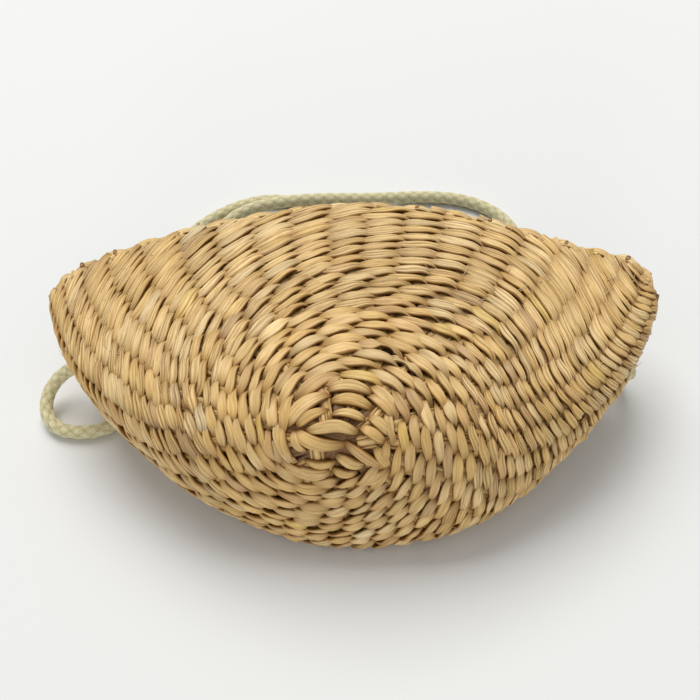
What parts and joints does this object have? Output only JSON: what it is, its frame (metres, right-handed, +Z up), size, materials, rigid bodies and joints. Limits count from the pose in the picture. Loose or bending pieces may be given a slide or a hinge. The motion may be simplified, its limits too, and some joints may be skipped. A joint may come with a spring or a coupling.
{
  "type": "woven shoulder bag",
  "caption": "Small twined straw shoulder bag lying on its back, with a round woven base, a wide curved mouth and a knotted braided cotton strap.",
  "frame": {"origin": "on the floor, under the middle of the bag without its strap", "axes": "+X to the right along the mouth, +Y from the woven base to the mouth, +Z up with the bag lying on its back panel"},
  "size_m": [0.2613, 0.1965, 0.0665],
  "materials": {
    "straw_outside": "dry split leaf, satin, with fibres along each stitch",
    "straw_inside": "dry split leaf, paler, less handled",
    "stakes": "dry split leaf, folded flat",
    "strap": "matt braided cotton"
  },
  "bodies": {
    "root": {"woven_start": "straw_outside", "first_rounds_outer": "straw_outside", "first_rounds_inner": "straw_inside", "base_weave_outer": "straw_outside", "base_weave_inner": "straw_inside", "wall_weave_outer": "straw_outside", "wall_weave_inner": "straw_inside", "stake_01": "stakes", "stake_02": "stakes", "stake_03": "stakes", "stake_04": "stakes", "stake_05": "stakes", "stake_06": "stakes", "stake_07": "stakes", "stake_08": "stakes", "stake_09": "stakes", "stake_10": "stakes", "stake_11": "stakes", "stake_12": "stakes", "stake_13": "stakes", "stake_14": "stakes", "stake_15": "stakes", "stake_16": "stakes", "stake_17": "stakes", "stake_18": "stakes", "stake_19": "stakes", "stake_20": "stakes", "stake_21": "stakes", "stake_22": "stakes", "stake_23": "stakes", "stake_24": "stakes", "stake_25": "stakes", "stake_26": "stakes", "stake_27": "stakes", "stake_28": "stakes", "stake_29": "stakes", "stake_30": "stakes", "stake_31": "stakes", "stake_32": "stakes", "stake_33": "stakes", "stake_34": "stakes", "stake_35": "stakes", "stake_36": "stakes", "stake_37": "stakes", "stake_38": "stakes", "stake_39": "stakes", "stake_40": "stakes", "rim_border": "straw_outside", "left_strap_knot": "strap", "right_strap_knot": "strap", "strap_cord": "strap"}
  },
  "joints": []
}
